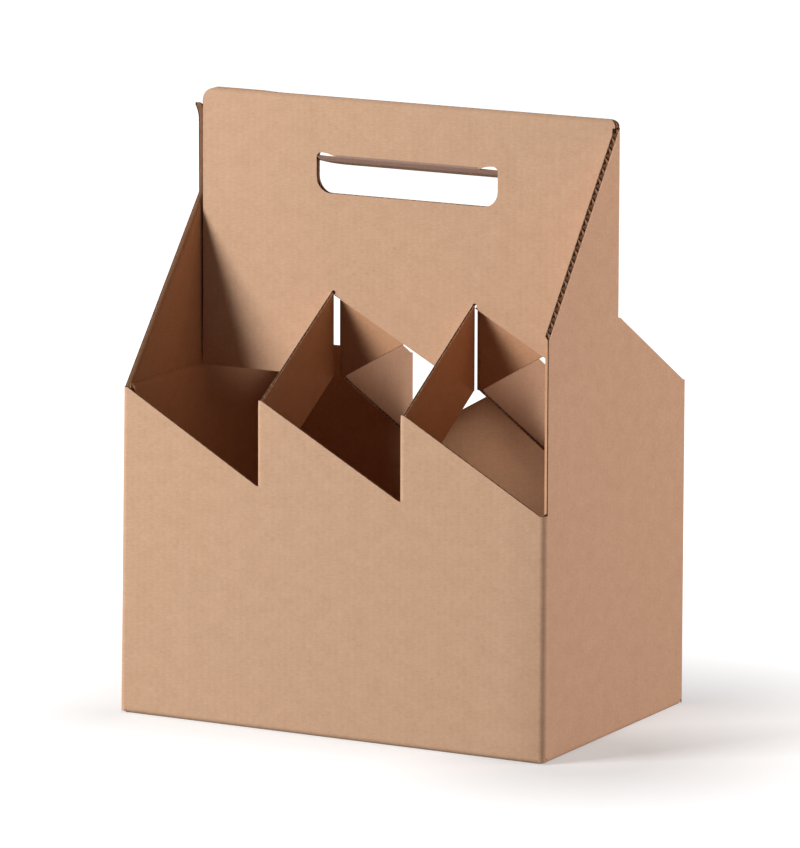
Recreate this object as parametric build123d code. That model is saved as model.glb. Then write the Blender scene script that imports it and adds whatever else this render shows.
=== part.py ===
from build123d import *
import os

# Six-bottle carrier, die-cut and folded from one blank of corrugated board.
# Millimetres. The origin is at the middle of the base, +X runs along the length,
# +Y runs from the front panel to the back panel and +Z is up. The print side of
# the board is the outside of the carrier.

# Board and folds
board = 2.8                  # thickness of the corrugated board
fold_inside = 0.5            # inside radius of a crease
fold_outside = fold_inside + board

# Overall sizes of the erected carrier
cells_per_row = 3
cell = 88.0                  # one bottle's share of the length
length = cells_per_row * cell
width = 173.0                # outside, along Y: two rows of bottles
rim_height = 186.0           # upper points of the sawtooth rim
tooth_drop = 48.0            # fall of each slanted cut
handle_height = 344.0        # top edge of the handle

# End walls
free_edge_height = 235.0     # where the free upright of a tall end half stops
handle_fold_height = 339.5   # top of the crease between the right end and the handle
lock_fold_height = 334.0     # top of the crease between the left end and its lock tab
lock_fold_start = 284.0      # foot of that crease, on the left end
lock_tab_width = 36.0        # part of the lock tab held between the handle plies
lock_tab_taper = 7.0

# Dividers
fold_gap_left = 1.2          # play between the two folds that cross at the left divider
fold_gap_right = -1.0        # the same at the right divider
relief_radius = 1.3          # round relief at the top of each front divider's fold

# Handle
end_clearance = 0.3          # between a ply and the end wall that it lies against
ply_left_margin = 0.2        # from the lock tab's fold to the plies' free edge
ply_left_radius = 7.0
nub_setback = 1.5            # the plies' right edge above the end wall, from its outside
nub_radius = 4.0
nub_radius_share = 0.9       # most of the nub's height that its corner may take
joggle_length = 18.0         # run in which the rear ply steps back behind the lock tab

# Hand hole
hole_length = 114.0
hole_offset = 1.5            # centre of the hole from the middle of the length
crease_height = 310.6        # upper edge of the hole, where its flap is creased
hole_height = 20.7
hole_radius = 9.0
hole_top_radius = 3.0
notch_length = 12.0          # relief notch at each end of the crease
notch_height = 2.1
rear_hole_margin = 1.0       # the rear ply's hole is larger all round
flap_gap = 0.3               # cut between the flap and the hole
flap_angle = 76.0            # how far the flap is folded back from its place in the hole

# Base
end_flap_reach = 74.0        # inner flap folded from each end wall
end_flap_taper = 9.0
seam_gap = 0.8               # between the two outer flaps, where they hook together
seam_hook = 14.0             # how far each outer flap reaches past the middle
base_setback = 20.0          # sides of the outer flaps from the end walls
corner_slot = 0.8            # slot beside each base flap at the corners
glue_flap_setback = 1.0      # free edge of the glue flap from the middle of the end
corner_foot = 1.0            # the upright corners stop this far above the floor

# Places that the panels share
left, right = -length / 2, length / 2
front, back = -width / 2, width / 2
inner_left = left + board
low_rim = rim_height - tooth_drop
high_cut = rim_height + tooth_drop
divider_lines = (left + cell, left + 2 * cell)
fold_gaps = (fold_gap_left, fold_gap_right)
front_dividers = [line - board - gap / 2 for line, gap in zip(divider_lines, fold_gaps)]
back_dividers = [line + board + gap / 2 for line, gap in zip(divider_lines, fold_gaps)]
ply_left = left + fold_outside + ply_left_margin
ply_right = right - board - end_clearance
nub_right = right - nub_setback
hole_left = hole_offset - hole_length / 2
hole_right = hole_offset + hole_length / 2
hole_bottom = crease_height - hole_height


def upright_plane(y):
    """Plane across the carrier: local x is +X and local y is +Z."""
    return Plane(origin=(0, y, 0), x_dir=(1, 0, 0), z_dir=(0, -1, 0))


def end_plane(x):
    """Plane along an end: local x is +Y and local y is +Z."""
    return Plane(origin=(x, 0, 0), x_dir=(0, 1, 0), z_dir=(1, 0, 0))


def outline(points):
    """Flat face inside a closed outline."""
    return make_face(Polyline(*points, close=True))


def panel_across(face, front_face, depth=board):
    """A panel parallel to XZ whose front face lies at Y = front_face."""
    return extrude(upright_plane(front_face) * face, amount=-depth)


def panel_along(face, left_face, depth=board):
    """A panel parallel to YZ whose left face lies at X = left_face."""
    return extrude(end_plane(left_face) * face, amount=depth)


def quarter_ring(outward_x, outward_y):
    """Section of a square fold about its own centre; outward says which corner it rounds."""
    ring = Circle(fold_outside) - Circle(fold_inside)
    quadrant = Pos(outward_x * fold_outside / 2, outward_y * fold_outside / 2)
    return ring & (quadrant * Rectangle(fold_outside, fold_outside))


def upright_fold(corner_x, corner_y, outward_x, outward_y, low, high):
    """A vertical fold whose outer faces would meet at (corner_x, corner_y)."""
    centre_x = corner_x - outward_x * fold_outside
    centre_y = corner_y - outward_y * fold_outside
    return extrude(Pos(centre_x, centre_y, low) * quarter_ring(outward_x, outward_y), amount=high - low)


def front_panel():
    """Front wall: three teeth that fall to the right."""
    first, second = front_dividers
    points = [
        (inner_left + fold_outside, fold_outside),
        (inner_left + fold_outside, rim_height),
        (first, low_rim),
        (first + fold_outside, low_rim),
        (first + fold_outside, rim_height),
        (second, low_rim),
        (second + fold_outside, low_rim),
        (second + fold_outside, rim_height),
        (right - fold_outside, low_rim),
        (right - fold_outside, fold_outside),
    ]
    return panel_across(outline(points), front)


def back_panel():
    """Back wall: a level stretch behind the first cell, then two teeth that fall to the left."""
    first, second = back_dividers
    points = [
        (left + fold_outside, fold_outside),
        (left + fold_outside, rim_height),
        (first - fold_outside, rim_height),
        (first - fold_outside, low_rim),
        (first, low_rim),
        (second - fold_outside, rim_height),
        (second - fold_outside, low_rim),
        (second, low_rim),
        (right - fold_outside, rim_height),
        (right - fold_outside, fold_outside),
    ]
    return panel_across(outline(points), back - board)


def right_end():
    """Right end: a tall front half that carries the rear handle ply, and a low back half."""
    fold_line = board - fold_outside
    points = [
        (front + fold_outside, fold_outside),
        (front + fold_outside, free_edge_height),
        (fold_line, handle_fold_height),
        (fold_line, high_cut),
        (board, high_cut),
        (back - fold_outside, rim_height),
        (back - fold_outside, fold_outside),
    ]
    return panel_along(outline(points), right - board)


def left_end():
    """Left end: the outer wall, with a low front half and a tall back half."""
    foot_end = front + fold_outside - corner_slot
    points = [
        (foot_end, fold_outside),
        (foot_end, corner_foot),
        (front, corner_foot),
        (front, rim_height),
        (0, lock_fold_start),
        (fold_outside, lock_fold_start),
        (fold_outside, lock_fold_height),
        (back - fold_outside, free_edge_height),
        (back - fold_outside, fold_outside),
    ]
    return panel_along(outline(points), left)


def glue_flap():
    """Flap folded from the front panel and glued inside the left end."""
    points = [
        (front + fold_outside, fold_outside),
        (front + fold_outside, rim_height),
        (-glue_flap_setback, rim_height),
        (-glue_flap_setback, fold_outside),
    ]
    return panel_along(outline(points), inner_left)


def wall_folds():
    """The four upright corners, the handle's fold and the lock tab's fold."""
    return [
        upright_fold(inner_left, front, -1, -1, corner_foot, rim_height),
        upright_fold(right, front, 1, -1, corner_foot, low_rim),
        upright_fold(right, back, 1, 1, corner_foot, rim_height),
        upright_fold(left, back, -1, 1, corner_foot, rim_height),
        upright_fold(right, board, 1, 1, high_cut, handle_fold_height),
        upright_fold(left, 0, -1, -1, lock_fold_start, lock_fold_height),
    ]


def front_divider(print_face):
    """Band cut from above the front panel's teeth, folded to join it to the front ply."""
    near = front + fold_outside
    far = -fold_outside
    points = [(near, low_rim), (near, rim_height), (far, high_cut), (far, rim_height)]
    inner_face = print_face + board
    return [
        panel_along(outline(points), print_face),
        upright_fold(print_face, front, -1, -1, low_rim, rim_height),
        upright_fold(inner_face, 0, 1, 1, rim_height, high_cut),
    ]


def back_divider(print_face):
    """The same band behind, joining the back panel to the rear ply."""
    near = back - fold_outside
    far = fold_outside
    points = [(near, low_rim), (near, rim_height), (far, high_cut), (far, rim_height)]
    inner_face = print_face - board
    return [
        panel_along(outline(points), inner_face),
        upright_fold(print_face, back, 1, 1, low_rim, rim_height),
        upright_fold(inner_face, 0, -1, -1, rim_height, high_cut),
    ]


def handle_body(left_edge, right_edge):
    """Upper part of a ply, above all the slanted cuts, with its two rounded corners."""
    body = outline([
        (left_edge, high_cut),
        (left_edge, handle_height),
        (right_edge, handle_height),
        (right_edge, high_cut),
    ])
    nub = outline([
        (right_edge - fold_outside, handle_fold_height),
        (right_edge - fold_outside, handle_height),
        (nub_right, handle_height),
        (nub_right, handle_fold_height),
    ])
    face = body + nub
    face = fillet(top_corners(face)[0], ply_left_radius)
    largest = nub_radius_share * (handle_height - handle_fold_height)
    return fillet(top_corners(face)[-1], min(nub_radius, largest))


def top_corners(face):
    """Corners on the highest edge of a flat face, from left to right."""
    return face.vertices().group_by(Axis.Y)[-1].sort_by(Axis.X)


def front_ply():
    """Handle ply that carries the front dividers, with the creased flap's hole."""
    first, second = (print_face + board for print_face in front_dividers)
    first_cell = outline([
        (ply_left, rim_height),
        (ply_left, high_cut),
        (first - fold_outside, high_cut),
        (first - fold_outside, rim_height),
    ])
    second_cell = outline([
        (first, high_cut),
        (second - fold_outside, high_cut),
        (second - fold_outside, rim_height),
    ])
    third_cell = outline([(second, high_cut), (ply_right, high_cut), (ply_right, rim_height)])
    face = handle_body(ply_left, ply_right) + first_cell + second_cell + third_cell
    for fold in (first, second):
        face -= Pos(fold, high_cut) * Circle(relief_radius)
    return panel_across(face - front_hole(), -board)


def rear_ply():
    """Handle ply folded from the right end; it steps back where it covers the lock tab."""
    first, second = (print_face - board for print_face in back_dividers)
    edge = right - fold_outside
    first_cell = outline([(ply_left, rim_height), (ply_left, high_cut), (first, high_cut)])
    second_cell = outline([
        (first + fold_outside, rim_height),
        (first + fold_outside, high_cut),
        (second, high_cut),
    ])
    third_cell = outline([
        (second + fold_outside, rim_height),
        (second + fold_outside, high_cut),
        (edge, high_cut),
    ])
    face = handle_body(ply_left, edge) + first_cell + second_cell + third_cell
    cut = panel_across(face - rear_hole(), 0, 2 * board)
    sheet = extrude(Pos(0, 0, rim_height) * rear_ply_plan(), amount=handle_height - rim_height)
    return cut & sheet


def step(start, end):
    """Smooth step of the board, two equal arcs that leave and arrive level."""
    middle = ((start[0] + end[0]) / 2, (start[1] + end[1]) / 2)
    toward = (1 if end[0] > start[0] else -1, 0)
    away = (-toward[0], 0)
    return TangentArc(start, middle, tangent=toward) + TangentArc(end, middle, tangent=away)


def rear_ply_plan():
    """The rear ply seen from above: flat, then one board further back at the lock tab."""
    step_start = left + lock_tab_width + end_clearance
    step_end = step_start + joggle_length
    edges = Line((nub_right, 0), (step_end, 0))
    edges += step((step_end, 0), (step_start, board))
    edges += Line((step_start, board), (ply_left, board))
    edges += Line((ply_left, board), (ply_left, 2 * board))
    edges += Line((ply_left, 2 * board), (step_start, 2 * board))
    edges += step((step_start, 2 * board), (step_end, board))
    edges += Line((step_end, board), (nub_right, board))
    edges += Line((nub_right, board), (nub_right, 0))
    return make_face(edges)


def lock_tab():
    """Tab folded from the tall half of the left end and glued between the plies."""
    points = [
        (left + fold_outside, lock_fold_start),
        (left + lock_tab_width, lock_fold_start + lock_tab_taper),
        (left + lock_tab_width, lock_fold_height - lock_tab_taper),
        (left + fold_outside, lock_fold_height),
    ]
    return panel_across(outline(points), 0)


def rounded_slot(margin, top, top_radius):
    """Opening for the fingers: square, with large lower corners."""
    low, high = hole_bottom - margin, top
    face = outline([
        (hole_left - margin, low),
        (hole_left - margin, high),
        (hole_right + margin, high),
        (hole_right + margin, low),
    ])
    lower = face.vertices().group_by(Axis.Y)[0]
    face = fillet(lower, hole_radius + margin)
    if top_radius:
        face = fillet(top_corners(face), top_radius)
    return face


def relief_notch():
    """Curved relief above the left end of the flap's crease."""
    foot = crease_height + notch_height - hole_top_radius
    low = crease_height - notch_height
    peak = (hole_left + hole_top_radius, crease_height + notch_height)
    end = (hole_left + notch_length, crease_height)
    edges = Line((hole_left, low), (hole_left, foot))
    edges += TangentArc((hole_left, foot), peak, tangent=(0, 1))
    edges += TangentArc(peak, end, tangent=(1, 0))
    edges += Line(end, (end[0], low))
    edges += Line((end[0], low), (hole_left, low))
    return make_face(edges)


def front_hole():
    """The front ply's hole, with a relief notch at each end of the crease."""
    notch = relief_notch()
    mirrored = Pos(2 * hole_offset, 0) * mirror(notch, Plane.YZ)
    return rounded_slot(0, crease_height, 0) + notch + mirrored


def rear_hole():
    """The rear ply's hole, a little larger all round and clear of the folded flap."""
    top = crease_height + notch_height + rear_hole_margin
    return rounded_slot(rear_hole_margin, top, hole_top_radius + rear_hole_margin)


def handle_flap():
    """Flap creased along the top of the hand hole, folded back through the handle."""
    face = rounded_slot(-flap_gap, crease_height - flap_gap, 0)
    hanging = panel_across(face, -board)
    crease = Axis((0, 0, crease_height), (1, 0, 0))
    return hanging.rotate(crease, flap_angle)


def base_fold(root_length, reach, turn):
    """Quarter round along the foot of a wall that stands at -Y, turned about Z to its wall."""
    fold = extrude(end_plane(-root_length / 2) * quarter_ring(-1, -1), amount=root_length)
    return Rot(0, 0, turn) * Pos(0, fold_outside - reach, fold_outside) * fold


def outer_base_flap():
    """Flap under the front wall; its far edge hooks past the middle on the left half."""
    near = front + fold_outside
    root = right - fold_outside - corner_slot
    side = right - base_setback
    shoulder = near + root - side
    half_gap = seam_gap / 2
    points = [
        (-root, near),
        (-side, shoulder),
        (-side, seam_hook - half_gap),
        (-seam_hook, seam_hook - half_gap),
        (seam_hook - seam_gap, -seam_hook - half_gap),
        (side, -seam_hook - half_gap),
        (side, shoulder),
        (root, near),
    ]
    return extrude(outline(points), amount=board)


def end_base_flap():
    """Flap under the right end; it rises over the outer flaps and is glued to them."""
    near = right - fold_outside
    root = back - fold_outside - corner_slot
    side = right - base_setback
    shoulder = root - (near - side)
    tip = right - end_flap_reach
    top = 2 * board
    points = [
        (near, -root),
        (side, -shoulder),
        (tip, end_flap_taper - shoulder),
        (tip, shoulder - end_flap_taper),
        (side, shoulder),
        (near, root),
    ]
    cut = extrude(outline(points), amount=top)
    rise_start = near - corner_slot
    edges = Line((near, 0), (rise_start, 0))
    edges += step((rise_start, 0), (side, board))
    edges += Line((side, board), (tip, board))
    edges += Line((tip, board), (tip, top))
    edges += Line((tip, top), (side, top))
    edges += step((side, top), (rise_start, board))
    edges += Line((rise_start, board), (near, board))
    edges += Line((near, board), (near, 0))
    return cut & extrude(upright_plane(back) * make_face(edges), amount=width)


def base():
    """Glued base: two hooked outer flaps and two end flaps inside them."""
    long_root = length - 2 * (fold_outside + corner_slot)
    short_root = width - 2 * (fold_outside + corner_slot)
    pieces = []
    for turn in (0, 180):
        pieces.append(base_fold(long_root, width / 2, turn))
        pieces.append(base_fold(short_root, length / 2, turn + 90))
        pieces.append(Rot(0, 0, turn) * outer_base_flap())
        pieces.append(Rot(0, 0, turn) * end_base_flap())
    return pieces


def carrier():
    """The whole blank, folded and glued."""
    pieces = [front_panel(), back_panel(), right_end(), left_end(), glue_flap()]
    pieces += wall_folds()
    for print_face in front_dividers:
        pieces += front_divider(print_face)
    for print_face in back_dividers:
        pieces += back_divider(print_face)
    pieces += [front_ply(), rear_ply(), lock_tab()]
    pieces += base()
    return Part() + pieces


def main():
    os.makedirs("parts", exist_ok=True)
    export_step(carrier(), "parts/carrier_blank.step")
    export_step(handle_flap(), "parts/handle_flap.step")


main()
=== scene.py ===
from collections import defaultdict
from math import asin, atan2, ceil, cos, degrees, hypot, pi, radians, sin
import bpy
import numpy as np
from mathutils import Matrix, Vector


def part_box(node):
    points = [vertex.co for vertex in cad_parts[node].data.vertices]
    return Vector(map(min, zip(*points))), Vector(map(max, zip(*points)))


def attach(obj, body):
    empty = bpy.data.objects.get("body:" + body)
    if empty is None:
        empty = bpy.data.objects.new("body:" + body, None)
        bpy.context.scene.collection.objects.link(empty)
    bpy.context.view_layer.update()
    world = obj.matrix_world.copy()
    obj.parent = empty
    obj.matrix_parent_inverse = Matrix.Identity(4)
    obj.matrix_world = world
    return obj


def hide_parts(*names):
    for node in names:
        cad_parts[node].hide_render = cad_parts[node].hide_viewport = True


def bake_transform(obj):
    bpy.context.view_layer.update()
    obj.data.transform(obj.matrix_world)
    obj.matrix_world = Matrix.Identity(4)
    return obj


# Looks of the six-bottle carrier: every panel is rebuilt as real corrugated board, two
# liners and a fluted medium between them, so that each cut edge shows its flutes.
# Lengths are millimetres until a mesh, a lamp or the camera takes them.

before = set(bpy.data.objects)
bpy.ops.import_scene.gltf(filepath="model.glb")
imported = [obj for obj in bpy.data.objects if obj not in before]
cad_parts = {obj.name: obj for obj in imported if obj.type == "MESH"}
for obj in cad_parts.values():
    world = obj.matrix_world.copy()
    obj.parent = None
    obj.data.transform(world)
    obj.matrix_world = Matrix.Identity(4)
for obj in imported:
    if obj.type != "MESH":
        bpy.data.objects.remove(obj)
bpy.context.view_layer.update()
MM = 0.001
TINY = 1e-6

# Outer sizes, from the frame
low_corner, high_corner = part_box("carrier_blank")
left, front, _ = (round(value / MM, 2) for value in low_corner)
right, back, handle_height = (round(value / MM, 2) for value in high_corner)

# Board
board = 2.8
fold_inside = 0.5
fold_outside = fold_inside + board
fold_length = (fold_inside + board / 2) * pi / 2     # along the middle of the board
liner = 0.3
medium = 0.24
flute_pitch = 4.0
flute_overlap = 0.03           # how far each crest sinks into its liner's glue
flute_steps = 12               # facets in one flute
fold_facet = 12.0              # degrees of turn in one facet of a fold
shading_margin = 0.6           # narrow facet beside each fold, which keeps panels flat
line_spacing = 0.05            # facet lines closer than this to a corner are left out
smooth_angle = 32.0            # facets that meet at less than this are shaded as one curve

# Walls
rim_height = 186.0
low_rim = 138.0
high_cut = 234.0
free_edge_height = 235.0
handle_fold_height = 339.5
lock_fold_start = 284.0
lock_fold_height = 334.0
lock_tab_width = 36.0
lock_tab_taper = 7.0
free_edge_top = 329.5          # where the left end's slanted back edge starts
ear_foot = 325.0               # the top of its upright front edge curls out to the left
ear_top = 334.8
ear_curl = 2.4                 # how far it goes to the left
ear_turn = 0.4                 # how far forward, as a share of that
ear_slope = 1.2                # height of its rounded top
ear_peak = 1.6                 # from the edge back to its highest point
ear_depth = 3.6                # from the edge back to the slanted edge
ear_facets = 9
press_reach = 3.0              # how far from a slanted cut the die pressed the board
press_fade = 1.5
press_steps = (1, 0.6, 0.3)    # where the pressed strip's facets lie, as shares of its reach
rim_share = 0.4                # thickness that is left at each slanted cut, as a share
left_end_share = 0.3
right_end_share = 1.4          # this one is opened instead
lining_share = 0.2
band_share = 0.5
handle_share = 0.3
crush_reach = 1.2              # the right end's free front edge is crushed over this width
crush_share = 0.3              # and keeps this share of its thickness
splay_start = -60.0            # the left end stands out from here, by splay_foot at the floor
splay_top = 0.7
splay_foot = 3.7
handle_side = left + fold_outside - 0.2      # above the lining, what is right of this stays
corner_foot = 1.0
corner_slot = 0.8
inner_left = left + board
lining_top = 187.5             # the ply that lines the left end stands this high
lining_end = front + fold_outside + 1.0

# Dividers: where the print faces of the bands lie
divider_lines = (left + (right - left) / 3, right - (right - left) / 3)
fold_gaps = (1.2, -1.0)        # play between the two folds that cross at each divider
front_dividers = [line - board - gap / 2 for line, gap in zip(divider_lines, fold_gaps)]
back_dividers = [line + board + gap / 2 for line, gap in zip(divider_lines, fold_gaps)]
relief_radius = 1.3

# Handle
ply_left = left + fold_outside + 0.2
ply_right = right - board - 0.3
nub_right = right - 1.5
ply_left_radius = 7.0
nub_radius = 4.0
nub_radius_share = 0.9         # most of the nub's height that its corner may take
step_start = left + lock_tab_width + 0.3
step_run = 18.0

# Hand hole
hole_left = -55.5
hole_right = 58.5
hole_middle = (hole_left + hole_right) / 2
crease_height = 310.6
hole_bottom = 289.9
hole_radius = 9.0
hole_top_radius = 3.0
notch_length = 12.0
notch_height = 2.1
rear_margin = 1.0
flap_gap = 0.3
flap_angle = 76.0
skin_overlap = 1.2             # the crease's skin runs this far onto the ply and the flap
skin_proud = 0.06
skin_ease = 0.35               # above the crease, where the skin starts to turn
skin_turn = (0.15, -0.3)       # a point in its turn: behind the ply's face, and below the crease

# Base flaps
base_setback = 20.0
seam_gap = 0.8
seam_hook = 14.0
end_flap_reach = 74.0
end_flap_taper = 9.0


class Path:
    """A line of straight and evenly curved runs, each given as (length, left turn in degrees)."""

    def __init__(self, start, heading, runs):
        self.runs = []
        self.length = 0.0
        x, y = start
        heading = radians(heading)
        for length, turn in runs:
            self.runs.append((self.length, x, y, heading, length, radians(turn)))
            self.length += length
            end_x, end_y, end_heading = self.at(np.array([self.length]))
            x, y, heading = end_x[0], end_y[0], end_heading[0]

    def at(self, distances):
        """x, y and heading at some distances along the line."""
        x, y, heading = (np.empty(len(distances)) for _ in range(3))
        for begin, run_x, run_y, run_heading, length, turn in self.runs:
            here = distances >= begin - TINY
            travelled = distances[here] - begin
            way = run_heading + turn * travelled / length
            if turn:
                radius = length / turn
                x[here] = run_x + radius * (np.sin(way) - sin(run_heading))
                y[here] = run_y - radius * (np.cos(way) - cos(run_heading))
            else:
                x[here] = run_x + travelled * cos(run_heading)
                y[here] = run_y + travelled * sin(run_heading)
            heading[here] = way
        return x, y, heading

    def facets(self):
        """Distances that divide the curved runs, with a narrow margin beside each."""
        marks = []
        for begin, _, _, _, length, turn in self.runs:
            if turn:
                pieces = ceil(abs(degrees(turn)) / fold_facet)
                marks += [begin + length * i / pieces for i in range(pieces + 1)]
                marks += [begin - shading_margin, begin + length + shading_margin]
        return [mark for mark in marks if 0 < mark < self.length]


class Cut:
    """A slanted cut where the die changed the board's thickness, from (u, v) to (u, v).

    share is the thickness left at the cut, and anchor the side that keeps its place: 1 for the
    print side, -1 for the inner side and 0 for the middle."""

    def __init__(self, start, end, share, anchor):
        (self.u0, v0), (self.u1, v1) = sorted((start, end))
        self.slope = (v1 - v0) / (self.u1 - self.u0)
        self.level = v0 - self.slope * self.u0
        self.drop = press_reach * hypot(1, self.slope)
        self.share = share
        self.anchor = anchor * board / 2

    def levels(self):
        """Lines along the cut, as levels of v - slope * u."""
        return [self.level - self.drop * step for step in press_steps]

    def depth(self, u, v, depth):
        below = np.clip((self.level - (v - self.slope * u)) / self.drop, 0, 1)
        after_start = np.clip((u - self.u0) / press_fade + 1, 0, 1)
        before_end = np.clip((self.u1 - u) / press_fade + 1, 0, 1)
        pressed = (1 - below) ** 2 * after_start * before_end
        return self.anchor + (depth - self.anchor) * (1 + (self.share - 1) * pressed)


def rising_step(run, rise, side):
    """Two equal arcs that shift a path sideways; side is 1 for left and -1 for right."""
    angle = 2 * atan2(rise / 2, run / 2)
    length = run / 2 / sin(angle) * angle
    turn = side * degrees(angle)
    return [(length, turn), (length, -turn)]


class Board:
    """A stretch of board: its outlines in (u, v), flutes along v, and its place in space."""

    def __init__(self, place, loops, flute_start, flute_scale=1.0, u_lines=(), v_lines=()):
        self.flat_place = place
        self.cuts = []
        self.loops = [[(round(u, 4), round(v, 4)) for u, v in loop] for loop in loops]
        self.flute_start = flute_start
        self.flute_scale = flute_scale
        self.u_lines = u_lines
        self.v_lines = sorted(v_lines)

    def place(self, u, v, depth):
        for cut in self.cuts:
            depth = cut.depth(u, v, depth)
        return splayed(self.flat_place(u, v, depth))

    def blank(self, u):
        """Distance across the flutes on the flat blank."""
        return self.flute_start + self.flute_scale * np.asarray(u, float)

    def flute_lines(self):
        """u of every facet line of the flutes."""
        step = flute_pitch / flute_steps
        ends = [u for loop in self.loops for u, _ in loop]
        first, last = self.blank([min(ends), max(ends)]) / step
        numbers = np.arange(ceil(first), int(last) + 1)
        return list((numbers * step - self.flute_start) / self.flute_scale)


def upright_board(path, loops, flute_start, flute_scale=1.0):
    """Board whose path is seen from above: u runs along the path and v is the height."""

    def place(u, v, depth):
        x, y, heading = path.at(u)
        return np.stack([x + depth * np.sin(heading), y - depth * np.cos(heading), v], axis=1)

    return Board(place, loops, flute_start, flute_scale, u_lines=path.facets())


def profile_board(start, heading, profile, top, loops, flute_start):
    """Board bent along its height: profile is its section, from v = top downwards."""
    along = (cos(radians(heading)), sin(radians(heading)))

    def place(u, v, depth):
        inward, height, way = profile.at(top - v)
        inward = inward + depth * np.sin(way)
        height = height - depth * np.cos(way)
        x = start[0] + u * along[0] - inward * along[1]
        y = start[1] + u * along[1] + inward * along[0]
        return np.stack([x, y, height], axis=1)

    bends = [top - mark for mark in profile.facets()]
    return Board(place, loops, flute_start, v_lines=bends)


def splayed(places):
    """Moves the left end outwards, most at its foot; the handle keeps its place."""
    x, y, z = places.T
    share = np.clip((splay_start - x) / (splay_start - left), 0, 1) ** 2
    share = np.where((z > lining_top) & (x > handle_side), 0, share)
    shift = splay_top + (splay_foot - splay_top) * np.clip(1 - z / rim_height, 0, 1)
    return np.stack([x - share * shift, y, z], axis=1)


def arc(centre, radius, start, end, steps=8):
    """Points on an arc from one angle to another, in degrees."""
    angles = [radians(start + (end - start) * i / steps) for i in range(steps + 1)]
    return [(centre[0] + radius * cos(a), centre[1] + radius * sin(a)) for a in angles]


# Outlines of the walls, as (place along the wall, height)

def front_outline():
    first, second = front_dividers
    outline = [(left + fold_outside, fold_outside), (left + fold_outside, rim_height)]
    for print_face in (first, second):
        outline += [
            (print_face, low_rim),
            (print_face + fold_outside, low_rim),
            (print_face + fold_outside, rim_height),
        ]
    return outline + [(right - fold_outside, low_rim), (right - fold_outside, fold_outside)]


def back_outline():
    """Seen from behind, so the first number is -X."""
    first, second = (-print_face for print_face in reversed(back_dividers))
    outline = [(fold_outside - right, fold_outside), (fold_outside - right, rim_height)]
    for print_face in (first, second):
        outline += [
            (print_face, low_rim),
            (print_face + fold_outside, low_rim),
            (print_face + fold_outside, rim_height),
        ]
    return outline + [(-inner_left - fold_outside, rim_height)]


def flap_level(depth):
    """v of a point on a base flap that lies this far in from the wall's outer face."""
    return fold_outside - fold_length - (depth - fold_outside)


def outer_flap(start, end):
    """Outer base flap below a long wall, from its left root to its right root."""
    near = flap_level(fold_outside)
    root = right - fold_outside - corner_slot
    side = right - base_setback
    shoulder = flap_level(fold_outside + root - side)
    half_gap = seam_gap / 2
    deep = flap_level(-front + seam_hook - half_gap)
    shallow = flap_level(-front - seam_hook - half_gap)
    return [
        (start, fold_outside),
        (start, near),
        (-side, shoulder),
        (-side, deep),
        (-seam_hook, deep),
        (seam_hook - seam_gap, shallow),
        (side, shallow),
        (side, shoulder),
        (end, near),
        (end, fold_outside),
    ]


def end_flap():
    """Base flap below an end wall, seen along the wall; it rises over the outer flaps."""
    root = back - fold_outside - corner_slot
    side = right - base_setback
    near = right - fold_outside
    shoulder = root - (near - side)
    step_length = sum(length for length, _ in end_flap_step())
    near_level = flap_level(fold_outside)
    side_level = near_level - corner_slot - step_length
    tip_level = side_level - (side - (right - end_flap_reach))
    return [
        (-root, fold_outside),
        (-root, near_level),
        (-shoulder, side_level),
        (end_flap_taper - shoulder, tip_level),
        (shoulder - end_flap_taper, tip_level),
        (shoulder, side_level),
        (root, near_level),
        (root, fold_outside),
    ]


def end_flap_step():
    run = base_setback - fold_outside - corner_slot
    return rising_step(run, board, 1)


def wall(start, heading, top, loop, shift, flap_runs, flute_start):
    """A wall with its base fold and flap; shift is the outline's place at the wall's start."""
    profile = Path((board / 2, top), -90, [(top - fold_outside, 0), (fold_length, 90)] + flap_runs)
    moved = [(along - shift, v) for along, v in loop]
    return profile_board(start, heading, profile, top, [moved], flute_start)


def box_outline(u0, u1, v0, v1):
    return [(u0, v0), (u1, v0), (u1, v1), (u0, v1)]


def right_outline():
    short_end = back - fold_outside
    return [
        (-short_end, fold_outside),
        (-short_end, free_edge_height),
        (board - fold_outside, handle_fold_height),
        (board - fold_outside, high_cut),
        (board, high_cut),
        (short_end, rim_height),
        (short_end, fold_outside),
    ]


def left_outline():
    """Seen from outside, so the first number is -Y."""
    short_end = back - fold_outside
    foot_end = corner_slot + short_end
    return [
        (short_end, fold_outside),
        (short_end, rim_height),
        (0, lock_fold_start),
        (0, ear_top - ear_slope),
        (-ear_peak, ear_top),
        (-ear_depth, ear_top - ear_slope),
        (-ear_depth, free_edge_top),
        (-back, free_edge_height),
        (-back, corner_foot),
        (-foot_end, corner_foot),
        (-foot_end, fold_outside),
    ]


def blank_places():
    """Where each panel starts on the flat blank, measured across the flutes."""
    long_start = left + fold_outside
    short_wall = 2 * (back - fold_outside)
    blank = {"front": long_start, "right": right - fold_outside + fold_length}
    blank["back"] = blank["right"] + short_wall + fold_length
    blank["lining"] = blank["back"] + (right - fold_outside) - (inner_left + fold_outside)
    blank["left"] = long_start - fold_length - short_wall
    return blank


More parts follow.
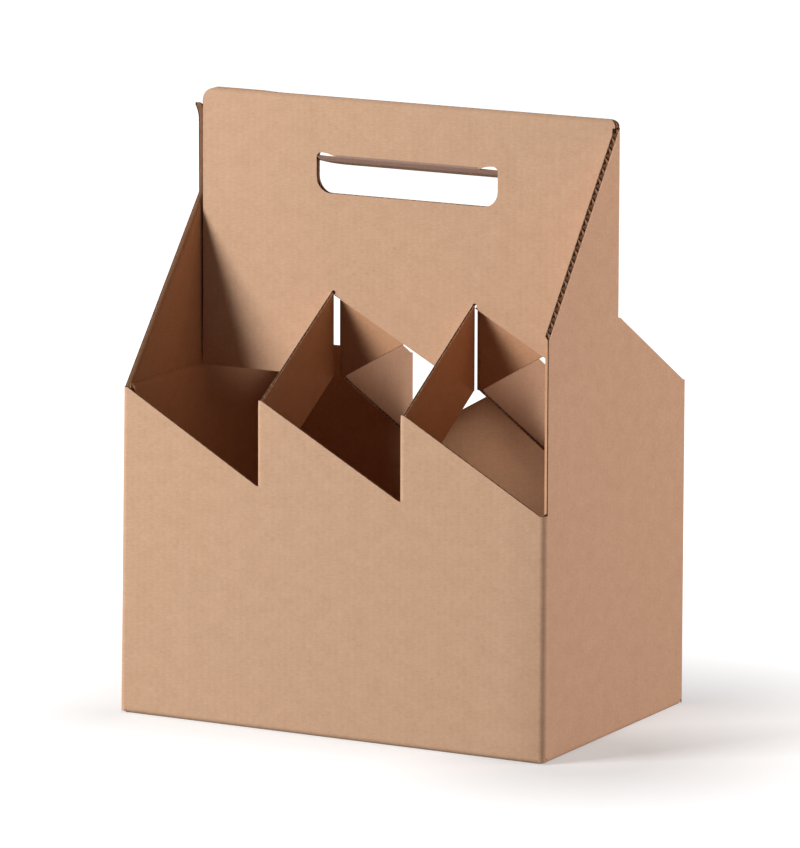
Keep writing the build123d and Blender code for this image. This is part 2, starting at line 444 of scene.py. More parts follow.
def walls(blank):
    """The front, right, back and left walls with their base flaps."""
    long_start = left + fold_outside
    long_end = right - fold_outside
    short_end = back - fold_outside
    flat = [(-front + seam_hook, 0)]
    stepped = [(corner_slot, 0)] + end_flap_step() + [(end_flap_reach, 0)]
    front_loop = front_outline() + outer_flap(-long_end, long_end)[::-1]
    right_loop = right_outline()[::-1] + end_flap()
    back_loop = back_outline()[::-1] + outer_flap(-long_end, -inner_left - fold_outside)
    left_loop = left_outline() + end_flap()
    sides = [
        ((long_start, front), 0, rim_height, front_loop, long_start, flat, blank["front"]),
        ((right, -short_end), 90, handle_fold_height, right_loop, -short_end, stepped, blank["right"]),
        ((long_end, back), 180, rim_height, back_loop, -long_end, flat, blank["back"]),
        ((left, short_end), -90, ear_top, left_loop, -short_end, stepped, blank["left"]),
    ]
    front_wall, right_wall, back_wall, left_wall = (wall(*side) for side in sides)
    press_rim(front_wall)
    shape_right_end(right_wall)
    shape_left_end(left_wall)
    return [front_wall, right_wall, back_wall, left_wall]


def press_rim(front_wall):
    """The die thinned the slanted cuts of the front rim."""
    long_start = left + fold_outside
    teeth = [long_start] + [print_face + fold_outside for print_face in front_dividers]
    feet = front_dividers + [right - fold_outside]
    for tooth, foot in zip(teeth, feet):
        start = (tooth - long_start, rim_height)
        end = (foot - long_start, low_rim)
        front_wall.cuts.append(Cut(start, end, rim_share, 1))


def shape_right_end(right_wall):
    """The slanted cut is opened and the upright edge in front of it is crushed."""
    short_end = back - fold_outside
    end = (short_end + board - fold_outside, handle_fold_height)
    right_wall.cuts = [Cut((0, free_edge_height), end, right_end_share, 0)]
    right_wall.flat_place = crushed(right_wall.flat_place)
    right_wall.u_lines = (crush_reach / 2, crush_reach)
    right_wall.v_lines = sorted(right_wall.v_lines + [low_rim, low_rim + press_fade])


def shape_left_end(left_wall):
    """The slanted cut is thinned and the top of the upright edge curls out."""
    short_end = back - fold_outside
    start = (short_end, lock_fold_start)
    left_wall.cuts = [Cut(start, (2 * short_end, rim_height), left_end_share, 1)]
    left_wall.flat_place = curled(left_wall.flat_place)
    ear_lines = [ear_foot + (ear_top - ear_foot) * i / ear_facets for i in range(ear_facets)]
    left_wall.v_lines = sorted(left_wall.v_lines + ear_lines + [rim_height])


def crushed(place):
    """The right end's free front edge, its inner side pressed down over the flutes."""

    def moved(u, v, depth):
        near = np.clip(1 - u / crush_reach, 0, 1) * np.clip((v - low_rim) / press_fade, 0, 1)
        share = 1 - (1 - crush_share) * near
        return place(u, v, board / 2 + (depth - board / 2) * share)

    return moved


def curled(place):
    """The top of the left end's free edge curls out to the left."""

    def moved(u, v, depth):
        places = place(u, v, depth)
        curl = ear_curl * np.clip((v - ear_foot) / (ear_top - ear_foot), 0, 1) ** 2
        return places - np.stack([curl, curl * ear_turn, 0 * curl], axis=1)

    return moved


def wall_corners(blank):
    """The upright folds at the front right, the back right and the front left."""
    short_end = back - fold_outside
    corners = [
        ((right - fold_outside, front + board / 2), 0, low_rim, blank["right"]),
        ((right - board / 2, short_end), 90, rim_height, blank["back"]),
        ((left + board / 2, -short_end), -90, rim_height, blank["front"]),
    ]
    boards = []
    for start, heading, top, next_wall in corners:
        path = Path(start, heading, [(fold_length, 90)])
        loop = box_outline(0, fold_length, corner_foot, top)
        boards.append(upright_board(path, [loop], next_wall - fold_length))
    return boards


def lining_board(blank):
    """Ply glued inside the left end, with the fold that joins it to the back wall."""
    reach = back - fold_outside - lining_end
    start = (inner_left + fold_outside, back - board / 2)
    path = Path(start, 180, [(fold_length, 90), (reach, 0)])
    loop = [
        (0, corner_foot),
        (fold_length, corner_foot),
        (fold_length, fold_outside),
        (path.length, fold_outside),
        (path.length, lining_top),
        (fold_length, lining_top),
        (0, rim_height),
    ]
    lining = upright_board(path, [loop], blank["lining"])
    lining.cuts = [Cut((fold_length, lining_top), (path.length, lining_top), lining_share, 1)]
    return lining


def lock_tab_board(blank):
    """Tab held between the handle plies, its end against the tall half of the left end."""
    width = lock_tab_width - board
    path = Path((inner_left, board / 2), 0, [(width, 0)])
    loop = [
        (0, lock_fold_start),
        (width, lock_fold_start + lock_tab_taper),
        (width, lock_fold_height - lock_tab_taper),
        (0, lock_fold_height),
    ]
    return upright_board(path, [loop], blank["left"] + back - fold_outside)


def band_outline(depth):
    """A divider's band, from its handle ply down to its wall."""
    near_ply = fold_length
    near_wall = fold_length + depth
    end = near_wall + fold_length
    return [
        (0, rim_height), (near_ply, rim_height), (near_wall, low_rim), (end, low_rim),
        (end, rim_height), (near_wall, rim_height), (near_ply, high_cut), (0, high_cut),
    ]


def front_ply_blank():
    """How much further along the blank the front ply lies than the front wall."""
    band = 2 * fold_length + (-front - 2 * fold_outside)
    return 2 * fold_outside - board - band


def rear_blank(blank, x):
    """Place across the flutes of a point on the rear ply."""
    at_fold = blank["right"] + (board - fold_outside) - (front + fold_outside)
    return at_fold + fold_length + (right - fold_outside) - x


def dividers(blank):
    depth = -front - 2 * fold_outside
    boards = []
    for print_face in front_dividers:
        start = (print_face + board - fold_outside, -board / 2)
        path = Path(start, 0, [(fold_length, -90), (depth, 0), (fold_length, 90)])
        begin = print_face + fold_outside - path.length
        band = upright_board(path, [band_outline(depth)], begin)
        band.cuts = [Cut((fold_length, high_cut), (fold_length + depth, rim_height), band_share, -1)]
        boards.append(band)
    for print_face in back_dividers:
        start = (print_face - board + fold_outside, board / 2)
        path = Path(start, 180, [(fold_length, -90), (depth, 0), (fold_length, 90)])
        begin = rear_blank(blank, start[0])
        end = blank["back"] + (right - fold_outside) - (print_face - fold_outside)
        boards.append(upright_board(path, [band_outline(depth)], begin, (end - begin) / path.length))
    return boards


def handle_top(left_edge, right_edge, fold_edge):
    """Upper edge of a ply from its upper left corner to the foot of the nub."""
    nub = min(nub_radius, nub_radius_share * (handle_height - handle_fold_height))
    points = arc((left_edge + ply_left_radius, handle_height - ply_left_radius), ply_left_radius, 180, 90)
    points += arc((right_edge - nub, handle_height - nub), nub, 90, 0, 5)
    return points + [(right_edge, handle_fold_height), (fold_edge, handle_fold_height)]


def slot_foot(margin):
    """Lower edge of the hand hole with its two large corners, from right to left."""
    radius = hole_radius + margin
    low = hole_bottom - margin
    points = arc((hole_right + margin - radius, low + radius), radius, 0, -90)
    return points + arc((hole_left - margin + radius, low + radius), radius, -90, -180)


def front_hole():
    """Hole of the front ply, with a curved relief notch at each end of the crease."""
    peak = crease_height + notch_height
    run = notch_length - hole_top_radius
    radius = (run ** 2 + notch_height ** 2) / (2 * notch_height)
    spread = degrees(asin(run / radius))
    left_notch = arc((hole_left + hole_top_radius, peak - hole_top_radius), hole_top_radius, 180, 90, 5)
    left_notch += arc((hole_left + hole_top_radius, peak - radius), radius, 90, 90 - spread, 5)[1:]
    right_notch = [(2 * hole_middle - x, z) for x, z in reversed(left_notch)]
    return slot_foot(0) + left_notch + right_notch


def rear_hole():
    """Hole of the rear ply, a little larger all round."""
    radius = hole_top_radius + rear_margin
    top = crease_height + notch_height + rear_margin - radius
    points = arc((hole_left - rear_margin + radius, top), radius, 180, 90, 5)
    points += arc((hole_right + rear_margin - radius, top), radius, 90, 0, 5)
    return slot_foot(rear_margin) + points


def front_ply_board():
    """Handle ply in front, which carries the front dividers and the creased flap's hole."""
    first, second = (print_face + board for print_face in front_dividers)
    loop = handle_top(ply_left, nub_right, ply_right)
    loop += [(ply_right, rim_height), (second, high_cut - relief_radius)]
    loop += arc((second, high_cut), relief_radius, -90, 180, 9)
    loop += [(second - fold_outside, high_cut), (second - fold_outside, rim_height)]
    loop += [(first, high_cut - relief_radius)]
    loop += arc((first, high_cut), relief_radius, -90, 180, 9)
    loop += [(first - fold_outside, high_cut), (first - fold_outside, rim_height), (ply_left, rim_height)]
    path = Path((left, -board / 2), 0, [(right - left, 0)])
    loops = [[(x - left, z) for x, z in points] for points in (loop, front_hole())]
    ply = upright_board(path, loops, front_ply_blank() + left)
    ply.cuts = [Cut((0, handle_height), (right - left, handle_height), handle_share, -1)]
    return ply


def rear_ply_boards(blank):
    """Handle ply behind, folded from the right end; it steps back at the lock tab."""
    fold = Path((right - board / 2, board - fold_outside), 90, [(fold_length, 90)])
    fold_loop = box_outline(0, fold_length, high_cut, handle_fold_height)
    edge = right - fold_outside
    boards = [upright_board(fold, [fold_loop], rear_blank(blank, edge) - fold_length)]

    step = rising_step(step_run, board, -1)
    extra = sum(length for length, _ in step) - step_run
    step_end = step_start + step_run
    path = Path((nub_right, board / 2), 180, [(nub_right - step_end, 0)] + step + [(lock_tab_width, 0)])

    def along(x):
        """Distance along the ply at a place across the handle, the step's slope included."""
        share = min(max((step_end - x) / step_run, 0), 1)
        return nub_right - x + extra * share

    first, second = (print_face - board for print_face in back_dividers)
    loop = handle_top(ply_left, nub_right, edge)
    loop += [(edge, high_cut), (second + fold_outside, rim_height), (second + fold_outside, high_cut)]
    loop += [(second, high_cut), (first + fold_outside, rim_height), (first + fold_outside, high_cut)]
    loop += [(first, high_cut), (ply_left, rim_height)]
    loops = [[(along(x), z) for x, z in points] for points in (loop, rear_hole())]
    ply = upright_board(path, loops, rear_blank(blank, nub_right))
    ply.cuts = [Cut((0, handle_height), (path.length, handle_height), handle_share, -1)]
    boards.append(ply)
    return boards


def flap_board():
    """Flap of the hand hole at rest: folded back about the crease."""
    inset = flap_gap
    radius = hole_radius - inset
    low = hole_bottom + inset
    loop = arc((hole_right - inset - radius, low + radius), radius, 0, -90)
    loop += arc((hole_left + inset + radius, low + radius), radius, -90, -180)
    loop += [(hole_left + inset, crease_height - inset), (hole_right - inset, crease_height - inset)]
    turn = radians(flap_angle)

    def place(u, v, depth):
        y = -board / 2 - depth
        z = v - crease_height
        return np.stack([
            u,
            y * cos(turn) - z * sin(turn),
            crease_height + y * sin(turn) + z * cos(turn),
        ], axis=1)

    return Board(place, [loop], front_ply_blank())


def crease_skin_board():
    """Print liner from the front ply's face round the crease to its flap, at rest."""
    turn = radians(flap_angle)
    root = np.array([-board * cos(turn), -board * sin(turn)])
    onto_flap = root + skin_overlap * np.array([sin(turn), -cos(turn)])
    proud = skin_proud * np.array([-cos(turn), -sin(turn)])
    section = np.array([
        (-board - skin_proud, skin_overlap),
        (-board - skin_proud, skin_ease),
        (-board - skin_proud / 2, 0.0),
        (-board + skin_turn[0], skin_turn[1]),
        root + proud,
        onto_flap + proud,
    ])
    steps = np.hypot(*np.diff(section, axis=0).T)
    marks = np.concatenate([[0.0], np.cumsum(steps)])

    def place(u, v, depth):
        """v runs down the section, and depth goes in towards the crease's axis."""
        y = np.interp(v, marks, section[:, 0])
        z = np.interp(v, marks, section[:, 1])
        shrink = 1 + depth / np.hypot(y, z)
        return np.stack([u, y * shrink, crease_height + z * shrink], axis=1)

    start, end = hole_left + flap_gap, hole_right - flap_gap
    loop = [
        (start, marks[2]),
        (hole_left + notch_length, marks[2]),
        (hole_left + notch_length, 0),
        (hole_right - notch_length, 0),
        (hole_right - notch_length, marks[2]),
        (end, marks[2]),
        (end, marks[-1]),
        (start, marks[-1]),
    ]
    return Board(place, [loop], front_ply_blank(), v_lines=marks[1:-1])


# Cutting a board into cells and thickening it into sheets of paper

def clipped(cell, level, side):
    """The part of a cell above a level, or below it where side is -1."""
    kept = []
    for (u0, v0), (u1, v1) in zip(cell, cell[1:] + cell[:1]):
        if side * (v0 - level) >= 0:
            kept.append((u0, v0))
        if (v0 - level) * (v1 - level) < 0:
            kept.append((u0 + (u1 - u0) * (level - v0) / (v1 - v0), level))
    return kept


def sliced(cell, levels):
    """Cuts a convex cell at each level that crosses it."""
    parts = []
    for level in levels:
        heights = [v for _, v in cell]
        if min(heights) + TINY < level < max(heights) - TINY:
            parts.append(clipped(cell, level, -1))
            cell = clipped(cell, level, 1)
    return parts + [cell]


def height_on(edge, u):
    (u0, v0), (u1, v1) = edge
    return v0 + (v1 - v0) * (u - u0) / (u1 - u0)


def lines_for(loops, wanted):
    """Every corner's u, and each wanted line that isn't close to one of them."""
    corners = sorted({u for loop in loops for u, _ in loop})
    known = np.array(corners)
    extra = []
    for line in wanted:
        inside = known[0] < line < known[-1]
        if inside and np.abs(known - line).min() > line_spacing:
            extra.append(round(line, 4))
    return sorted(set(corners + extra))


def sheared(cell, slope):
    return [(u, v - slope * u) for u, v in cell]


def cells_inside(loops, u_lines, v_lines, cuts):
    """Convex cells that fill the area inside the loops, in upright strips."""
    edges = []
    for loop in loops:
        for a, b in zip(loop, loop[1:] + loop[:1]):
            if abs(a[0] - b[0]) > TINY:
                edges.append((min(a, b), max(a, b)))
    cells = []
    for u0, u1 in zip(u_lines, u_lines[1:]):
        crossing = [edge for edge in edges if edge[0][0] < u1 - TINY and edge[1][0] > u0 + TINY]
        spans = sorted((height_on(edge, u0), height_on(edge, u1)) for edge in crossing)
        for (low0, low1), (high0, high1) in zip(spans[::2], spans[1::2]):
            cells += sliced([(u0, low0), (u1, low1), (u1, high1), (u0, high0)], v_lines)
    for cut in cuts:
        parts = [part for cell in cells for part in sliced(sheared(cell, cut.slope), cut.levels())]
        cells = [sheared(part, -cut.slope) for part in parts]
    return cells


def joined_cells(cells, loops):
    """Gives neighbouring cells the same corners along the upright line that they share."""
    levels = {low_rim, rim_height, high_cut, lock_fold_start, lock_fold_height, free_edge_height,
              handle_fold_height, fold_outside, corner_foot}
    on_line = defaultdict(set)
    cells = [[(round(u, 4), round(v, 4)) for u, v in cell] for cell in cells]
    for cell in cells:
        for u, v in cell:
            on_line[u].add(v)
    for loop in loops:
        for (u0, _), (u1, _) in zip(loop, loop[1:] + loop[:1]):
            if abs(u0 - u1) < TINY:
                on_line[u0] |= levels
    joined = []
    for cell in cells:
        corners = []
        for (u0, v0), (u1, v1) in zip(cell, cell[1:] + cell[:1]):
            corners.append((u0, v0))
            if u0 == u1:
                between = [v for v in on_line[u0] if min(v0, v1) < v < max(v0, v1)]
                corners += [(u0, v) for v in sorted(between, reverse=v1 < v0)]
        corners = [c for c, following in zip(corners, corners[1:] + corners[:1]) if c != following]
        if len(corners) > 2:
            joined.append(corners)
    return joined


class Paper:
    """Closed sheets of paper, welded where their corners meet."""

    def __init__(self):
        self.index = {}
        self.places = []
        self.blanks = []
        self.faces = []
        self.kinds = []
        self.walls = {}

    def corner(self, place, blank):
        key = tuple(round(float(value), 3) for value in place)
        if key not in self.index:
            self.index[key] = len(self.places)
            self.places.append(place)
            self.blanks.append(blank)
        return self.index[key]

    def add_sheet(self, sheet_board, wanted_lines, near_depth, far_depth, kinds):
        """One layer of a board between two depths; kinds are its print side, inner side and edge."""
        loops = sheet_board.loops
        u_lines = lines_for(loops, wanted_lines)
        cells = cells_inside(loops, u_lines, sheet_board.v_lines, sheet_board.cuts)
        cells = joined_cells(cells, loops)
        points = sorted({corner for cell in cells for corner in cell})
        u, v = np.array(points).T
        blank = np.stack([sheet_board.blank(u), v], axis=1)
        sides = []
        for depth in (near_depth, far_depth):
            placed = sheet_board.place(u, v, depth(sheet_board.blank(u)))
            sides.append({c: self.corner(p, b) for c, p, b in zip(points, placed, blank)})
        near, far = sides
        steps = set()
        for cell in cells:
            self.add_face([near[c] for c in cell], kinds[0])
            self.add_face([far[c] for c in reversed(cell)], kinds[1])
            steps.update(zip(cell, cell[1:] + cell[:1]))
        for a, b in steps:
            if (b, a) not in steps:
                self.add_wall([far[a], far[b], near[b], near[a]], kinds[2])

    def add_face(self, corners, kind):
        corners = [c for c, following in zip(corners, corners[1:] + corners[:1]) if c != following]
        if len(set(corners)) > 2:
            self.faces.append(corners)
            self.kinds.append(kind)

    def add_wall(self, corners, kind):
        """Two walls that meet face to face cancel, which joins the boards there."""
        key = frozenset(corners)
        if key in self.walls:
            del self.walls[key]
        else:
            self.walls[key] = (corners, kind)

    def to_object(self, name, materials):
        for corners, kind in self.walls.values():
            self.add_face(corners, kind)
        mesh = bpy.data.meshes.new(name)
        mesh.from_pydata([Vector(place) * MM for place in self.places], [], self.faces)
        mesh.polygons.foreach_set("material_index", self.kinds)
        for material in materials:
            mesh.materials.append(material)
        flat = mesh.uv_layers.new(name="blank")
        corner = np.empty(len(mesh.loops), int)
        mesh.loops.foreach_get("vertex_index", corner)
        flat.uv.foreach_set("vector", (np.array(self.blanks)[corner] * MM).ravel())
        mesh.shade_smooth()
        mesh.set_sharp_from_angle(angle=radians(smooth_angle))
        mesh.validate()
        obj = bpy.data.objects.new(name, mesh)
        bpy.context.scene.collection.objects.link(obj)
        return obj


def level_depth(depth):
    return lambda blank: np.full(len(blank), depth)


def wave_depth(offset):
    height = board / 2 - liner - medium / 2 + flute_overlap
    return lambda blank: height * np.sin(2 * pi * blank / flute_pitch) + offset


def add_liners(paper, sheet_board):
    surface = board / 2
    inner = surface - liner
    paper.add_sheet(sheet_board, sheet_board.u_lines, level_depth(surface), level_depth(inner), (0, 2, 2))
    paper.add_sheet(sheet_board, sheet_board.u_lines, level_depth(-inner), level_depth(-surface), (2, 1, 2))


def add_skin(paper, sheet_board):
    paper.add_sheet(sheet_board, (), level_depth(0), level_depth(-liner), (0, 2, 2))


def add_medium(paper, sheet_board):
    lines = sheet_board.flute_lines()
    paper.add_sheet(sheet_board, lines, wave_depth(medium / 2), wave_depth(-medium / 2), (0, 0, 0))


# Materials

paper_roughness = 0.82
paper_specular = 0.3
cloud_scale = (90, 110)        # features in a metre across and along the flutes
cloud_share = 0.35
fibre_layers = ((1500, 300, 0.35), (260, 1300, 0.55), (2400, 2400, 0.6))
speck_scale = (800, 650)
speck_range = (0.2, 0.26)      # of the noise, over which a speck fades in
speck_depth = 0.35
tone_range = 0.11              # how far the lightest and darkest fibres leave the paper's colour
dark_warmth = 0.1              # how much redder the dark fibres are
grain_strength = 0.35
grain_depth = 0.08
crease_reach = 22.0            # painted shade darkens the paper over this width beside an upright crease
crease_kept = 0.75             # to this share of its light, at the floor
crease_shade_fade_height = 130.0     # from here up the crease has only
crease_shade_top_share = 0.4              # this share of that shade
front_right_crease = right - fold_outside    # a place on the blank, which is X on the front wall


class Nodes:
    """Short forms for building the node tree of a material or a world."""

    def __init__(self, owner):
        owner.use_nodes = True
        self.nodes = owner.node_tree.nodes
        self.links = owner.node_tree.links

    def feed(self, socket, value):
        if isinstance(value, (int, float, Vector)):
            socket.default_value = value
        else:
            self.links.new(value, socket)

    def math(self, operation, first, second=0.0):
        node = self.nodes.new("ShaderNodeMath")
        node.operation = operation
        self.feed(node.inputs[0], first)
        self.feed(node.inputs[1], second)
        return node.outputs[0]

    def vector(self, operation, first, second, output="Vector"):
        node = self.nodes.new("ShaderNodeVectorMath")
        node.operation = operation
        self.feed(node.inputs[0], first)
        self.feed(node.inputs[1], second)
        return node.outputs[output]

    def scaled(self, vector, across, along):
        node = self.nodes.new("ShaderNodeMapping")
        node.inputs["Scale"].default_value = (across, along, 1)
        self.links.new(vector, node.inputs["Vector"])
        return node.outputs[0]

    def noise(self, vector, detail=2.0):
        """Noise about zero, a feature to each unit of the vector."""
        node = self.nodes.new("ShaderNodeTexNoise")
        node.inputs["Scale"].default_value = 1.0
        node.inputs["Detail"].default_value = detail
        self.links.new(vector, node.inputs["Vector"])
        return self.math("SUBTRACT", node.outputs["Fac"], 0.5)

    def ramp(self, value, low, high):
        node = self.nodes.new("ShaderNodeValToRGB")
        for element, colour in zip(node.color_ramp.elements, (low, high)):
            element.color = (*colour, 1)
        self.links.new(value, node.inputs["Fac"])
        return node.outputs["Color"]

    def span(self, value, start, end, low, high):
        node = self.nodes.new("ShaderNodeMapRange")
        for name, amount in zip(("From Min", "From Max", "To Min", "To Max"), (start, end, low, high)):
            node.inputs[name].default_value = amount
        self.links.new(value, node.inputs["Value"])
        return node.outputs[0]


def paper_tone(build, blank, across, mottle, ribs):
    """Clouds, fibres both ways, grain, the flutes' faint ribs and dark specks, about zero."""
    clouds = build.noise(build.scaled(blank, *cloud_scale), 3)
    tone = build.math("MULTIPLY", clouds, cloud_share * mottle)
    for fine_across, fine_along, share in fibre_layers:
        fibres = build.noise(build.scaled(blank, fine_across, fine_along))
        tone = build.math("ADD", tone, build.math("MULTIPLY", fibres, share * mottle))
    # the ribs go into the colour as well as the bump: in the colour they are painted shade of the liner's
    # faint washboard over the flutes
    if ribs:
        wave = build.math("SINE", build.math("MULTIPLY", across, 2 * pi / (flute_pitch * MM)))
        tone = build.math("ADD", tone, build.math("MULTIPLY", wave, ribs))
    specks = build.noise(build.scaled(blank, *speck_scale), 1)
    return build.math("SUBTRACT", tone, build.span(specks, *speck_range, 0.0, speck_depth))


def crease_shade(build, across, along, place):
    """Painted shade on the left of an upright crease and halfway round it, strongest at the floor."""
    near = build.span(across, (place - crease_reach) * MM, place * MM, 0.0, 1.0 - crease_kept)
    shade_fade = build.span(along, 0.0, crease_shade_fade_height * MM, 1.0, crease_shade_top_share)
    before = build.math("LESS_THAN", across, (place + fold_length / 2) * MM)
    return build.math("MULTIPLY", build.math("MULTIPLY", near, shade_fade), before)


def kraft(name, colour, mottle=1.0, ribs=0.0, crease=None):
    """Kraft paper; crease is the place on the blank of an upright crease, beside which shade is painted."""
    material = bpy.data.materials.new(name)
    build = Nodes(material)
    surface = build.nodes["Principled BSDF"]
    surface.inputs["Roughness"].default_value = paper_roughness
    surface.inputs["Specular IOR Level"].default_value = paper_specular
    flat = build.nodes.new("ShaderNodeUVMap")
    flat.uv_map = "blank"
    parts = build.nodes.new("ShaderNodeSeparateXYZ")
    build.links.new(flat.outputs[0], parts.inputs[0])
    across, along = parts.outputs[0], parts.outputs[1]
    tone = paper_tone(build, flat.outputs[0], across, mottle, ribs)
    # paints the shade beside the crease into the paper's colour
    if crease is not None:
        tone = build.math("SUBTRACT", tone, crease_shade(build, across, along, crease))
    low = [c * (1 - 2 * tone_range) * (1 - dark_warmth * i) for i, c in enumerate(colour)]
    high = [c * (1 + 2 * tone_range) for c in colour]
    paint = build.ramp(build.math("ADD", tone, 0.5), low, high)
    build.links.new(paint, surface.inputs["Base Color"])
    bump = build.nodes.new("ShaderNodeBump")
    bump.inputs["Strength"].default_value = grain_strength
    bump.inputs["Distance"].default_value = grain_depth * MM
    build.links.new(tone, bump.inputs["Height"])
    build.links.new(bump.outputs[0], surface.inputs["Normal"])
    return material


def object_from(name, boards, layers, materials):
    paper = Paper()
    for sheet_board in boards:
        layers(paper, sheet_board)
    return paper.to_object(name, materials)


blank = blank_places()
boards = walls(blank) + wall_corners(blank)
boards += [lining_board(blank), lock_tab_board(blank)] + dividers(blank)
boards += [front_ply_board()] + rear_ply_boards(blank)

print_side = kraft("kraft_print_side", (0.60, 0.386, 0.256), ribs=0.02, crease=front_right_crease)
inner_side = kraft("kraft_inner_side", (0.53, 0.29, 0.165), ribs=0.02)
cut_edge = kraft("kraft_cut_edge", (0.62, 0.40, 0.27), mottle=1.6)
flutes = kraft("kraft_medium", (0.24, 0.125, 0.07))

liners = object_from("board_liners", boards, add_liners, [print_side, inner_side, cut_edge])
fluting = object_from("board_flutes", boards, add_medium, [flutes])
for piece in (liners, fluting):
    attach(piece, "carrier")
    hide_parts("carrier_blank")

# The crease's skin is painted darker and greyer than the print side: painted shade on the band that faces
# down under the crease.
painted_shade_crease = kraft("kraft_painted_crease_shade", (0.36, 0.235, 0.19))
skin = object_from("crease_skin", [crease_skin_board()], add_skin, [painted_shade_crease, inner_side, cut_edge])
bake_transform(skin)
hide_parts("handle_flap")

flap_liners = object_from("flap_liners", [flap_board()], add_liners, [print_side, inner_side, cut_edge])
flap_flutes = object_from("flap_flutes", [flap_board()], add_medium, [flutes])
for piece in (flap_liners, flap_flutes):
    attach(piece, "finger_flap")
    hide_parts("handle_flap")


# Camera, floor and light

view_azimuth = 28.19
view_elevation = 10.60
view_roll = 0.14
view_distance = 4213.0
lens = 320.4
look_at = Vector((0.0, 0.6, 180.5))      # what the photograph's principal point shows
aim_right = -3.57                        # from there to the middle of the picture
aim_up = -17.5


def set_camera():
    yaw = radians(view_azimuth)
    pitch = radians(view_elevation)
    forward = Vector((-sin(yaw) * cos(pitch), cos(yaw) * cos(pitch), -sin(pitch)))
    sideways = Vector((cos(yaw), sin(yaw), 0))
    upward = sideways.cross(forward)
    location = look_at - forward * view_distance
    aim = look_at + sideways * aim_right + upward * aim_up
    forward = (aim - location).normalized()
    sideways = forward.cross(Vector((0, 0, 1))).normalized()
    upward = sideways.cross(forward)
    turn = Matrix((sideways, upward, -forward)).transposed() @ Matrix.Rotation(radians(view_roll), 3, "Z")
    data = bpy.data.cameras.new("camera")
    data.lens = lens
    data.clip_start = 0.1
    data.clip_end = 50.0
    camera = bpy.data.objects.new("camera", data)
    camera.matrix_world = Matrix.Translation(location * MM) @ turn.to_4x4()
    bpy.context.scene.collection.objects.link(camera)
    bpy.context.scene.camera = camera


# The floor glows white to the camera, less beside the right end, where its shadow stays, and
# less close to the carrier's foot, which paints a soft contact shadow there
shadow_middle = (140.0, -60.0, 0.0)
shadow_core = 40.0
shadow_reach = 230.0
shadow_glow = 0.37
# the floor's glow is dimmed near the foot: a painted contact shadow
contact_shade_reach = 150.0
contact_shade_glow = 0.5
floor_roughness = 0.9
floor_specular = 0.1
floor_tone = 0.62
floor_bounce = 0.3             # how pale the floor is to light that it throws back
ambient = 0.001
lamp_size = 0.9


def add_lamp(name, direction, distance, power, colour):
    """Square soft lamp that looks at the carrier's middle; its distance is in metres."""
    data = bpy.data.lights.new(name, "AREA")
    data.shape = "SQUARE"
    data.size = lamp_size
    data.energy = power
    data.color = colour
    lamp = bpy.data.objects.new(name, data)
    away = Vector(direction).normalized()
    middle = Vector((0, 0, handle_height / 2 * MM))
    lamp.location = middle + away * distance
    lamp.rotation_euler = away.to_track_quat("Z", "Y").to_euler()
    bpy.context.scene.collection.objects.link(lamp)


def seen_directly(build):
    """One for a ray from the camera, a reflection or a view through glass, else nothing."""
    path = build.nodes.new("ShaderNodeLightPath")
    total = path.outputs["Is Camera Ray"]
    for kind in ("Is Glossy Ray", "Is Transmission Ray"):
        total = build.math("MAXIMUM", total, path.outputs[kind])
    return total


def floor_glow(build, place):
    """Strength of the floor's own white, less in the shadow, and less close to the carrier's foot as a
    painted contact shadow.
    """
    middle = build.vector("DISTANCE", place, Vector(shadow_middle) * MM, "Value")
    shadow = build.span(middle, shadow_core * MM, shadow_reach * MM, shadow_glow, 1.0)
    footprint = build.vector("MAXIMUM", place, Vector((left, front, 0)) * MM)
    footprint = build.vector("MINIMUM", footprint, Vector((right, back, 0)) * MM)
    away = build.vector("DISTANCE", place, footprint, "Value")
    return build.math("MINIMUM", shadow, build.span(away, 0, contact_shade_reach * MM, contact_shade_glow, 1.0))


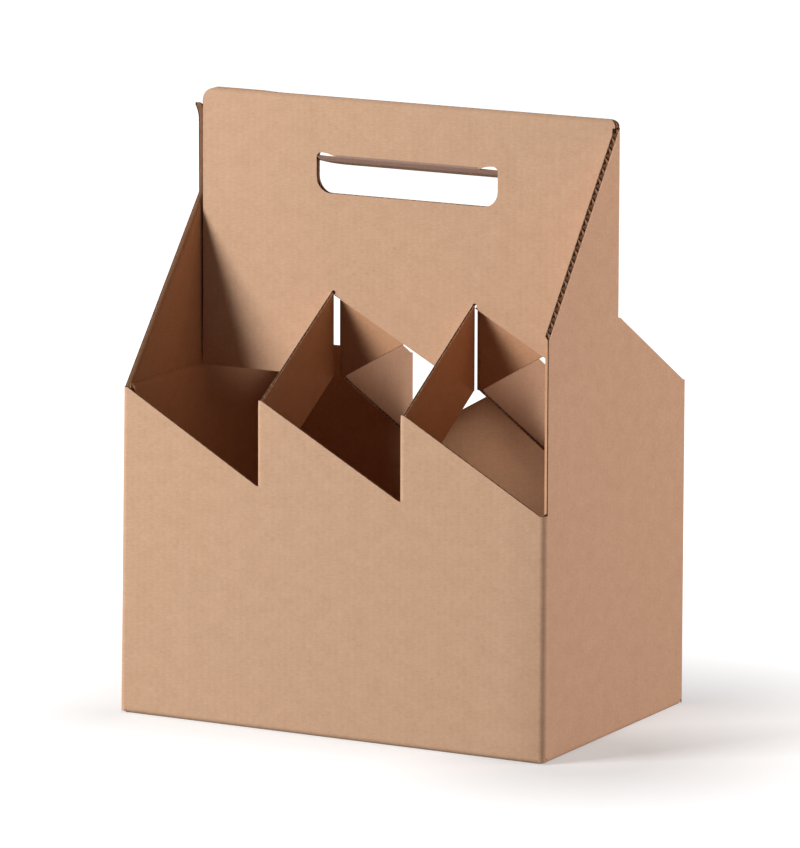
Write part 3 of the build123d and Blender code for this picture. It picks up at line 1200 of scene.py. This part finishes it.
def set_floor():
    mesh = bpy.data.meshes.new("floor")
    half = 6.0
    corners = [(-half, -half, 0), (half, -half, 0), (half, half, 0), (-half, half, 0)]
    mesh.from_pydata(corners, [], [(0, 1, 2, 3)])
    floor = bpy.data.objects.new("floor", mesh)
    bpy.context.scene.collection.objects.link(floor)
    material = bpy.data.materials.new("white_floor")
    mesh.materials.append(material)
    build = Nodes(material)
    surface = build.nodes["Principled BSDF"]
    surface.inputs["Roughness"].default_value = floor_roughness
    surface.inputs["Specular IOR Level"].default_value = floor_specular
    seen = seen_directly(build)
    tone = build.nodes.new("ShaderNodeCombineColor")
    for channel in tone.inputs:
        build.links.new(build.span(seen, 0, 1, floor_bounce, floor_tone), channel)
    build.links.new(tone.outputs[0], surface.inputs["Base Color"])
    place = build.nodes.new("ShaderNodeNewGeometry").outputs["Position"]
    glow = build.nodes.new("ShaderNodeEmission")
    build.links.new(build.math("MULTIPLY", floor_glow(build, place), seen), glow.inputs["Strength"])
    both = build.nodes.new("ShaderNodeAddShader")
    build.links.new(surface.outputs[0], both.inputs[0])
    build.links.new(glow.outputs[0], both.inputs[1])
    build.links.new(both.outputs[0], build.nodes["Material Output"].inputs["Surface"])


def set_world():
    world = bpy.data.worlds.new("studio")
    build = Nodes(world)
    plain = build.nodes["Background"]
    white = build.nodes.new("ShaderNodeBackground")
    for background, strength in ((plain, ambient), (white, 1.0)):
        background.inputs["Color"].default_value = (1, 1, 1, 1)
        background.inputs["Strength"].default_value = strength
    mix = build.nodes.new("ShaderNodeMixShader")
    build.links.new(seen_directly(build), mix.inputs["Fac"])
    build.links.new(plain.outputs[0], mix.inputs[1])
    build.links.new(white.outputs[0], mix.inputs[2])
    build.links.new(mix.outputs[0], build.nodes["World Output"].inputs["Surface"])
    bpy.context.scene.world = world


set_camera()
set_floor()
set_world()
add_lamp("key", direction=(-0.832, -1.0, 0.437), distance=2.5, power=72.0, colour=(1, 1, 1))
add_lamp("right_fill", direction=(1.0, 0.35, 0.12), distance=1.8, power=24.5, colour=(1, 0.9, 0.88))
bpy.context.scene.view_settings.view_transform = "Standard"
